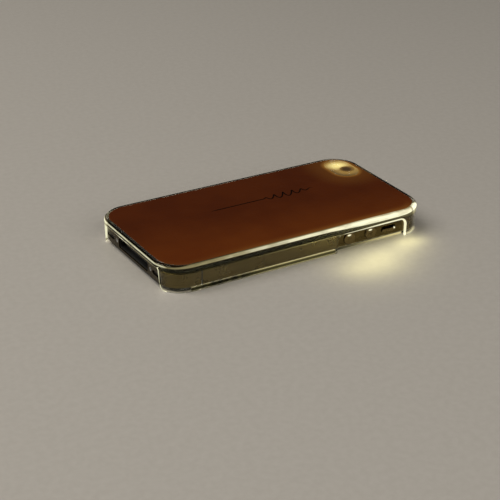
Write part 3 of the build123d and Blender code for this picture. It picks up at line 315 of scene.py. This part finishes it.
def near_wall_light(tree):
    """Near wall: a dim green strip under the rim, and the flame and the lit foot of its corner."""
    x, y, z = tree.axes()
    outer = tree.case_edge().step(-0.5, -0.4)
    streaks = tree.noise(0.5, 3.0, stretch=(0.12, 1.0, 1.0)).step(0.35, 0.65, 0.4, 1.0)
    above_notch = z.step(SIDE_NOTCH_TOP + 0.2, SIDE_NOTCH_TOP + 1.5)
    strip = outer * y.step(-29.0, -29.8) * x.step(8.0, 40.0, 0.0, 0.18) * above_notch * streaks
    corner = x.step(51.8, 53.2) * y.step(-25.2, -26.4)
    taper = (y + 0.7 * z).step(-17.6, -18.6)
    flame = corner * taper * z.step(7.2, 9.6) * streaks * 0.55
    foot = x.step(47.6, 49.0) * y.step(-24.0, -28.0) * z.step(2.4, 0.3) * streaks * 0.5
    return strip.at_least(flame).at_least(foot)


def lip_light(tree):
    """Near lip: thin lines at its top edge and its foot, broken towards the bottom end."""
    x, y, z = tree.axes()
    on_lip = tree.case_edge().step(-1.1, -1.3) * y.step(-27.5, -28.6)
    lines = z.step(1.15, 1.35).at_least(z.step(0.40, 0.2)) * z.step(1.7, 1.55)
    unbroken = broken_line(tree, 0.1).at_least(x.step(-30.0, -18.0))
    return on_lip * unbroken * x.step(-45.0, 5.0, 0.3, 1.0) * (0.06 + 0.20 * lines)


def flash_pool(tree):
    """Brightness round the flash: hot over the camera, dimmer elsewhere and darkest at the disc."""
    x, y, _ = tree.axes()
    hot = distance(x - HOT_SPOT[0], 1.35 * (y - HOT_SPOT[1])).step(8.0, 0.5)
    from_flash = tree.spot_distance(FLASH_SPOT)
    ring = from_flash.step(2.6, 3.6) * from_flash.step(8.0, 3.8)
    return 0.06 + 0.66 * hot + 0.19 * ring


def window_light(tree):
    """Clear window beside the flash."""
    _, _, z = tree.axes()
    inside = tree.case_edge().step(-PANEL_RIM - 0.2, -PANEL_RIM - 0.4)
    return inside * z.step(CASE_TOP - 0.55, CASE_TOP - 0.45) * flash_pool(tree)


# Tints of the plastic: two that it drifts between, the painted shade of its shoulder, its gloss and its
# shadow.
CLEAR_TINT = (0.96, 0.96, 0.90)
CLOUDED_TINT = (0.93, 0.93, 0.85)
SHOULDER_SHADE_TINT = (0.34, 0.35, 0.20)
GLOSS_TINT = (0.35, 0.35, 0.25)
SHADOW_TINT = (0.93, 0.92, 0.88)


def light_plastic(tree):
    """Light that leaves the clear plastic by its outer faces: lemon, and amber in the window."""
    window = window_light(tree)
    light = rim_light(tree) + end_wall_light(tree) + side_notch_light(tree)
    light = light + near_wall_light(tree) + lip_light(tree)
    outside = 1.0 - tree.from_behind()
    lemon = tree.mix(light.step(0.1, 0.6), LIGHT_EDGE, LIGHT_CORE)
    amber = tree.mix(window.step(0.1, 0.7), WINDOW_EDGE, WINDOW_CORE)
    tree.set(Emission_Color=tree.mix(window.step(0.01, 0.05), lemon, amber))
    tree.set(Emission_Strength=(light + window * 1.15) * outside)
    # The glow lights little beside itself, and taking it for a lamp would add noise.
    tree.material.cycles.emission_sampling = "NONE"


def clear_plastic():
    """Clear polycarbonate with painted shade on its shoulder, that carries light to its rims and cut
    edges.
    """
    tree = Tree("clear_plastic")
    _, _, z = tree.axes()
    edge = tree.case_edge()
    # Painted shade: the outer wall between the side notch's top and the rim is tinted dark.
    shoulder_shade = edge.step(-0.6, -0.4) * z.step(SIDE_NOTCH_TOP, SIDE_NOTCH_TOP + 0.3) * z.step(9.8, 9.5)
    rim = edge.step(-PANEL_RIM - 0.1, -PANEL_RIM + 0.1) * z.step(9.0, 9.8)
    clear = tree.mix(tree.noise(0.1, 2.0).step(0.3, 0.7), CLEAR_TINT, CLOUDED_TINT)
    tree.set(Base_Color=tree.mix(shoulder_shade, clear, SHOULDER_SHADE_TINT))
    tree.set(Roughness=rim * tree.noise(0.35, 4.0).step(0.45, 0.75, 0.10, 0.18))
    tree.set(IOR=PLASTIC_IOR, Transmission_Weight=1.0, Specular_Tint=GLOSS_TINT)
    light_plastic(tree)
    tree.pass_lamps(SHADOW_TINT)
    return tree.material


# Reds of the panel, far and near, as the two that each drifts between, and its grain and worn edge. The
# lighter near reds are painted light.
PANEL_FAR_SHADED = ((0.085, 0.0135, 0.0008), (0.105, 0.0185, 0.0013))
PANEL_NEAR_LIT = ((0.150, 0.029, 0.0020), (0.175, 0.038, 0.0030))
PANEL_GRAIN = (0.24, 0.064, 0.007)
PANEL_WORN = (0.36, 0.14, 0.03)


def panel_light(tree):
    """Light on the panel: a golden bleed inside its near edge and a halo round the window."""
    x, y, _ = tree.axes()
    inward = tree.case_edge().step(-7.2, -PANEL_RIM) ** 2.4
    bleed = inward * y.step(-14.0, -26.0) * x.step(-58.0, 34.0, 0.012, 0.07) * x.step(56.0, 50.0)
    across, up = x - WINDOW_CENTRE[0], y - WINDOW_CENTRE[1]
    from_window = past_outline(across, up, *WINDOW_HALF, WINDOW_HALF[0])
    halo = from_window.step(2.0, -0.4, 0.0, 0.13) + from_window.step(13.0, 0.0, 0.0, 0.035)
    return bleed + halo


def bronze_panel():
    """Anodised red-brown sheet, satin, brushed along its length and a little worn at its edge."""
    tree = Tree("bronze_panel")
    x, y, _ = tree.axes()
    edge = tree.case_edge()
    drift = tree.noise(0.06, 2.0).step(0.3, 0.7)
    grain = tree.noise(4.0, 2.0, stretch=(0.04, 1.0, 1.0))
    scratch = tree.noise(1.6, 6.0, stretch=(0.05, 1.3, 1.0), roughness=0.7)
    wear = edge.step(-PANEL_RIM - 0.9, -PANEL_RIM - 0.1) * scratch.step(0.5, 0.65) * 0.3
    # Painted light: the panel grows lighter towards its near side.
    near = (y + 0.12 * x).step(6.0, -30.0)
    base = tree.mix(near, tree.mix(drift, *PANEL_FAR_SHADED), tree.mix(drift, *PANEL_NEAR_LIT))
    base = tree.mix(grain * 0.12, base, PANEL_GRAIN)
    base = tree.mix(wear, base, PANEL_WORN)
    tree.set(Base_Color=base, Metallic=0.25, Specular_IOR_Level=0.12)
    tree.set(Roughness=tree.noise(0.5, 5.0).step(0.3, 0.7, 0.40, 0.52))
    tree.set(Normal=tree.bump(grain, 0.004, 0.25))
    light = panel_light(tree)
    tree.set(Emission_Color=tree.mix(light.step(0.1, 0.5), PANEL_GOLD, (1.0, 0.68, 0.22)))
    tree.set(Emission_Strength=light)
    return tree.material


# ---------------------------------------------------------------- metals
# Painted shade: the steels are dark and warm as if seen in the case's dim glow, and the buttons' is
# darker still for the notch that they sit in.
SHADED_BAND_STEEL = (0.18, 0.135, 0.056)
BAND_SHADE = (0.020, 0.014, 0.006)
SHADED_BUTTON_STEEL = (0.13, 0.098, 0.048)

# Glints, in millimetres: the lever's x and z, and the volume buttons' from the middles of their
# tops. The weight is the share of the distance along x that counts, so theirs are long that way.
LEVER_GLINT = (43.5, 4.45)
BUTTON_GLINT_SHIFT = -0.3
BUTTON_GLINT_DROP = 1.4
BUTTON_GLINT_WEIGHT = 0.45


def brushed_metal(name, colour, roughness, stretch, grain=3.0, edge=0.12, relief=0.12):
    """Metal with fine lines, which run along the axes whose stretch is small."""
    tree = Tree(name)
    lines = tree.noise(grain, 3.0, stretch=stretch)
    cloud = tree.noise(0.15, 2.0)
    darker = tuple(0.80 * share for share in colour)
    tree.set(Base_Color=tree.mix(lines.step(0.3, 0.7), darker, colour), Metallic=1.0)
    tree.set(Roughness=cloud.step(0.3, 0.7, roughness - 0.04, roughness + 0.06))
    tree.set(Normal=tree.bump(lines, 0.002, relief, tree.soft_edges(edge)))
    return tree


def band_steel():
    """Stainless band, brushed along its length, whose broken edges catch the case's light. Its dark warm
    colour is painted shade, darker still in the side notch and at the bottom end.
    """
    tree = brushed_metal("band_steel", SHADED_BAND_STEEL, 0.30, (0.03, 0.03, 1.0), relief=0.02)
    x, y, z = tree.axes()
    low, high = SIDE_NOTCH_SPAN
    in_notch = x.step(low - 1.0, low + 1.0) * x.step(high + 1.0, high - 1.0) * y.step(-28.5, -29.0)
    in_shade = (in_notch * 0.5).at_least(x.step(-56.0, -57.5) * 0.75)
    tree.set(Base_Color=tree.mix(in_shade, tree.feeding("Base Color"), BAND_SHADE))
    top_edge = z.step(7.12, 7.2) * z.step(7.46, 7.38)
    top_line = top_edge * x.step(-32.0, 12.0, 0.01, 0.36) * x.step(20.0, 14.0)
    foot_line = z.step(2.2, 2.05) * broken_line(tree, 0.25) * x.step(-50.0, 35.0, 0.02, 0.14)
    light = top_line.at_least(foot_line) * y.step(-26.0, -29.0)
    tree.set(Emission_Color=LIGHT_EDGE, Emission_Strength=light)
    return tree.material


def button_steel():
    """Turned steel buttons, darkened with painted shade. A glint of the notch's light lies on each volume
    button and the lever.
    """
    tree = brushed_metal("button_steel", SHADED_BUTTON_STEEL, 0.24, (1.0, 0.05, 0.05), edge=0.08)
    x, y, z = tree.axes()
    glints = [(*LEVER_GLINT, 1.0)]
    for button in ("volume_up_button", "volume_down_button"):
        low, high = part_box(button)
        across = (low.x + high.x) / 2 / MM + BUTTON_GLINT_SHIFT
        glints.append((across, high.z / MM - BUTTON_GLINT_DROP, BUTTON_GLINT_WEIGHT))
    light = 0.0
    for across, up, weight in glints:
        light = distance(weight * (x - across), z - up).step(0.5, 0.25) + light
    tree.set(Emission_Color=LIGHT_CORE, Emission_Strength=light * y.step(-29.2, -29.5) * 0.9)
    return tree.material


# ---------------------------------------------------------------- plastics and glass
def moulded(name, colour, roughness, grain=2.5, depth=0.006, edge=0.10):
    """Moulded plastic with a fine texture and slight unevenness of colour."""
    tree = Tree(name)
    texture = tree.noise(grain, 3.0)
    cloud = tree.noise(0.2, 2.0)
    lighter = tuple(1.3 * share + 0.006 for share in colour)
    tree.set(Base_Color=tree.mix(cloud.step(0.3, 0.7), colour, lighter))
    tree.set(Roughness=texture.step(0.2, 0.8, roughness - 0.05, roughness + 0.07))
    tree.set(Normal=tree.bump(texture, depth, 0.4, tree.soft_edges(edge)))
    return tree


DISPLAY_HALF_LENGTH = 37.5
DISPLAY_HALF_WIDTH = 25.0


def black_glass():
    """Black glass with faint handling marks and a shade greyer display. The case lights its near edge."""
    tree = Tree("black_glass")
    x, y, z = tree.axes()
    along = abs(x).step(DISPLAY_HALF_LENGTH, DISPLAY_HALF_LENGTH - 0.1)
    across = abs(y).step(DISPLAY_HALF_WIDTH, DISPLAY_HALF_WIDTH - 0.1)
    display = along * across * z.step(1.2, 1.1)
    smudge = tree.noise(0.11, 5.0, roughness=0.6)
    tree.set(Base_Color=tree.mix(display, (0.004, 0.004, 0.005), (0.011, 0.011, 0.013)), IOR=GLASS_IOR)
    tree.set(Roughness=smudge.step(0.45, 0.72, 0.03, 0.16))
    near_edge = y.step(-27.9, -28.1) * z.step(1.05, 0.9)
    low, high = SIDE_NOTCH_SPAN
    under_notch = x.step(low + 1.0, low + 4.0) * x.step(high + 0.1, high - 0.5)
    under_notch = under_notch * x.step(low + 4.0, high - 1.5, 0.06, 0.6)
    tree.set(Emission_Color=LIGHT_EDGE, Emission_Strength=near_edge * under_notch)
    return tree.material


def clear_glass():
    """Small lens covers."""
    tree = Tree("clear_glass")
    tree.set(Base_Color=(0.93, 0.95, 0.95), IOR=GLASS_IOR, Transmission_Weight=1.0)
    tree.set(Roughness=tree.noise(0.8, 3.0).step(0.5, 0.8, 0.01, 0.06))
    return tree.material


def board_resin():
    """Circuit board: dark solder mask over copper tracks."""
    tree = Tree("board_resin")
    bricks = tree.node("TexBrick", {"Vector": tree.place(), "Scale": 0.55, "Mortar Size": 0.06})
    tracks = Value(tree, bricks.outputs["Fac"]).step(0.2, 0.8)
    tree.set(Base_Color=tree.mix(tracks, (0.006, 0.016, 0.030), (0.016, 0.045, 0.075)))
    tree.set(Roughness=tree.noise(2.0).step(0.3, 0.7, 0.28, 0.4))
    tree.set(Normal=tree.bump(tracks, 0.02, 0.4))
    return tree.material


def reflector_plastic():
    """Amber-tinted disc over the flash with a painted glow of the flash's light, dark in its middle,
    where the cone turns the light away.
    """
    tree = moulded("reflector_plastic", (0.030, 0.012, 0.003), 0.25, grain=1.5)
    glow = tree.spot_distance(FLASH_SPOT).step(1.2, 2.9)
    tree.set(Emission_Color=WINDOW_EDGE, Emission_Strength=0.03 + 0.12 * glow)
    return tree.material


def led_phosphor():
    """The lit flash."""
    tree = Tree("led_phosphor")
    tree.set(Base_Color=tree.mix(tree.noise(3.0), (0.9, 0.7, 0.25), (1.0, 0.85, 0.45)), Roughness=0.5)
    tree.set(Emission_Color=LIGHT_CORE, Emission_Strength=8.0)
    return tree.material


def plain_metal(name, colour, roughness, stretch=(1.0, 1.0, 1.0), **more):
    return lambda: brushed_metal(name, colour, roughness, stretch, **more).material


def plain_plastic(name, colour, roughness, **more):
    return lambda: moulded(name, colour, roughness, **more).material


MATERIALS = {
    "clear_plastic": clear_plastic,
    "bronze_panel": bronze_panel,
    "reflector_plastic": reflector_plastic,
    "black_glass": black_glass,
    "clear_glass": clear_glass,
    "band_steel": band_steel,
    "button_steel": button_steel,
    "sheet_steel": plain_metal("sheet_steel", (0.52, 0.52, 0.52), 0.34, (0.1, 1.0, 1.0), grain=2.0),
    "ring_steel": plain_metal("ring_steel", (0.62, 0.62, 0.62), 0.16, (1.0, 1.0, 0.1), grain=1.0),
    "mesh_metal": plain_metal("mesh_metal", (0.05, 0.05, 0.05), 0.45),
    "contact_gold": plain_metal("contact_gold", (0.83, 0.60, 0.22), 0.22, (0.1, 1.0, 1.0)),
    "tungsten": plain_metal("tungsten", (0.36, 0.36, 0.37), 0.45, grain=4.0),
    "black_plastic": plain_plastic("black_plastic", (0.012, 0.012, 0.012), 0.42),
    "screen_glass": plain_plastic("screen_glass", (0.012, 0.012, 0.015), 0.15, grain=0.5),
    "cell_wrap": plain_plastic("cell_wrap", (0.020, 0.020, 0.023), 0.36, grain=0.5, depth=0.05, edge=0.3),
    "tab_film": plain_plastic("tab_film", (0.70, 0.70, 0.64), 0.30, grain=0.6, depth=0.02),
    "board_resin": board_resin,
    "chip_resin": plain_plastic("chip_resin", (0.020, 0.020, 0.021), 0.55, grain=5.0),
    "flex_film": plain_plastic("flex_film", (0.35, 0.14, 0.02), 0.30, grain=1.0),
    "card_plastic": plain_plastic("card_plastic", (0.72, 0.72, 0.70), 0.35, grain=1.5),
    "led_phosphor": led_phosphor,
}


def dress_nodes():
    """Give every CAD node the procedural material of its slot."""
    slot_of = {entry["node"]: entry["material_slot"] for entry in frame["record"]["subparts"]}
    made = {slot: build() for slot, build in MATERIALS.items()}
    for name, node in frame["nodes"].items():
        node.data.materials.clear()
        node.data.materials.append(made[slot_of[name]])
        for polygon in node.data.polygons:
            polygon.material_index = 0


# ---------------------------------------------------------------- printed flourish on the panel
# In millimetres: the line's start, wave and end, the wave's swing and lean, and the ink's section.
FLOURISH_START_X = -19.3
FLOURISH_WAVE_X = 5.0
FLOURISH_END_X = 28.5
FLOURISH_Y = 7.3
FLOURISH_TURNS = 5.5
FLOURISH_SWING = 2.6
FLOURISH_LEAN = 1.1
FLOURISH_HALF_WIDTH = 0.29
FLOURISH_INK = 0.02
FLOURISH_STEPS = 420
# Share of the line on each side of a point that gives the line's direction there.
FLOURISH_TANGENT = 0.001


def flourish_point(share):
    """Centre of the printed line: straight, then a leaning wave that swells and dies away."""
    x = FLOURISH_START_X + (FLOURISH_END_X - FLOURISH_START_X) * share
    if x < FLOURISH_WAVE_X:
        return Vector((x, FLOURISH_Y, 0.0))
    part = min(1.0, (x - FLOURISH_WAVE_X) / (FLOURISH_END_X - FLOURISH_WAVE_X))
    swell = math.sin(math.pi * part) ** 0.7 * (1.0 - 0.45 * part)
    turn = 2 * math.pi * FLOURISH_TURNS * part
    rise = FLOURISH_SWING * swell * math.sin(turn)
    return Vector((x + FLOURISH_LEAN * swell * math.sin(turn + 0.6), FLOURISH_Y + rise, 0.0))


def flourish_half_width(share):
    """Half the stroke's width, which tapers at both ends."""
    return FLOURISH_HALF_WIDTH * min(1.0, 0.2 + 12 * share, 0.2 + 12 * (1 - share))


def flourish_ink():
    """Dark printed ink that sits a little unevenly on the metal."""
    tree = Tree("flourish_ink")
    cover = tree.noise(2.0, 3.0)
    tree.set(Base_Color=tree.mix(cover.step(0.3, 0.7), (0.0015, 0.0005, 0.0002), (0.008, 0.0025, 0.001)))
    tree.set(Roughness=cover.step(0.3, 0.7, 0.6, 0.75), Specular_IOR_Level=0.05)
    return tree.material


def flourish_section(share, panel_top):
    """Four corners of the ink's cross-section at one place along the line."""
    along = flourish_point(share + FLOURISH_TANGENT) - flourish_point(share - FLOURISH_TANGENT)
    across = Vector((-along.y, along.x, 0.0)).normalized() * flourish_half_width(share)
    corners = []
    for side, lift in ((-1, 0.0), (-1, FLOURISH_INK), (1, FLOURISH_INK), (1, 0.0)):
        spot = (flourish_point(share) + side * across) * MM
        spot.z = panel_top + lift * MM
        corners.append(spot)
    return corners


def add_flourish():
    """Ribbon of ink along the flourish's line, just proud of the panel."""
    panel_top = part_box("case_back_panel")[1].z
    mesh = bmesh.new()
    rows = []
    for i in range(FLOURISH_STEPS + 1):
        corners = flourish_section(i / FLOURISH_STEPS, panel_top)
        rows.append([mesh.verts.new(corner) for corner in corners])
    for first, second in zip(rows, rows[1:]):
        for k in range(4):
            mesh.faces.new((first[k], first[(k + 1) % 4], second[(k + 1) % 4], second[k]))
    mesh.faces.new(reversed(rows[0]))
    mesh.faces.new(rows[-1])
    bmesh.ops.recalc_face_normals(mesh, faces=mesh.faces)
    data = bpy.data.meshes.new("back_flourish")
    mesh.to_mesh(data)
    mesh.free()
    data.materials.append(flourish_ink())
    piece = bpy.data.objects.new("back_flourish", data)
    bpy.context.scene.collection.objects.link(piece)
    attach(piece, "case")


# ---------------------------------------------------------------- stage, light and camera
# Metres, and the power of a lamp in watts.
FLOOR_SIZE = 6.0
FLOOR_GAP = 0.00002
FLOOR_TONES = ((0.56, 0.53, 0.48), (0.60, 0.57, 0.52))
STUDIO_WHITE = (1.0, 0.96, 0.90)
FILL_WHITE = (1.0, 0.96, 0.91)
AMBIENT_STRENGTH = 0.07

# The flash's spill on the floor: name, place, size and power of each small lamp.
SPILLS = (
    ("spill_by_notch", (0.021, -0.046, 0.012), (0.022, 0.008), 0.0013),
    ("spill_between", (0.035, -0.040, 0.009), (0.022, 0.004), 0.0006),
    ("spill_by_corner", (0.047, -0.036, 0.006), (0.010, 0.003), 0.0003),
)


def add_floor():
    """Plain pale floor, a hair below the screen so that the two faces don't lie in one plane.

    It is clear from underneath, so that it doesn't hide the object in a view from below.
    """
    tree = Tree("floor")
    grain = tree.noise(0.4, 4.0)
    tree.set(Base_Color=tree.mix(grain.step(0.2, 0.8), *FLOOR_TONES))
    tree.set(Roughness=0.42, Specular_IOR_Level=0.4, Alpha=1.0 - tree.from_behind())
    bpy.ops.mesh.primitive_plane_add(size=FLOOR_SIZE, location=(0, 0, -FLOOR_GAP))
    floor = bpy.context.object
    floor.name = "floor"
    floor.data.materials.append(tree.material)


def area_light(name, place, aim, size, power, colour, spread=180):
    """Rectangular lamp of a size in metres and a power in watts, turned to face a point."""
    light = bpy.data.lights.new(name, "AREA")
    light.shape = "RECTANGLE"
    light.size, light.size_y = size
    light.spread = math.radians(spread)
    light.energy = power
    light.color = colour
    lamp = bpy.data.objects.new(name, light)
    lamp.location = place
    lamp.rotation_euler = (Vector(aim) - Vector(place)).to_track_quat("-Z", "Y").to_euler()
    bpy.context.scene.collection.objects.link(lamp)
    return lamp


def add_lights():
    """Soft studio light, and the flash's spill on the floor beside the case."""
    world = bpy.data.worlds.new("studio")
    world.use_nodes = True
    background = world.node_tree.nodes["Background"]
    background.inputs["Color"].default_value = (*STUDIO_WHITE, 1.0)
    background.inputs["Strength"].default_value = AMBIENT_STRENGTH
    bpy.context.scene.world = world
    area_light("key", (-0.65, 0.35, 1.0), (0, 0, 0), (0.9, 0.9), 9.0, STUDIO_WHITE)
    fill = area_light("fill", (0.1, -1.1, 0.7), (0, 0, 0), (1.1, 0.7), 5.0, FILL_WHITE)
    fill.visible_glossy = False
    for name, place, size, power in SPILLS:
        aim = (place[0], place[1], 0.0)
        spill = area_light(name, place, aim, size, power, FLOOR_POOL, spread=150)
        spill.visible_camera = False
        spill.visible_glossy = False
        spill.visible_transmission = False


def add_camera():
    """Camera at the photograph's place and angle."""
    data = bpy.data.cameras.new("camera")
    data.lens = CAMERA_LENS
    data.sensor_width = SENSOR_WIDTH
    data.clip_start = 0.01
    camera = bpy.data.objects.new("camera", data)
    turn = Matrix.Rotation(math.radians(-CAMERA_AZIMUTH), 4, "Z")
    drop = Matrix.Rotation(math.radians(90 - CAMERA_DROP), 4, "X")
    roll = Matrix.Rotation(math.radians(CAMERA_ROLL), 4, "Z")
    camera.matrix_world = Matrix.Translation(CAMERA_PLACE) @ turn @ drop @ roll
    bpy.context.scene.collection.objects.link(camera)
    bpy.context.scene.camera = camera


add_camera()
dress_nodes()
add_flourish()
add_floor()
add_lights()

bpy.context.scene.view_settings.view_transform = "Standard"
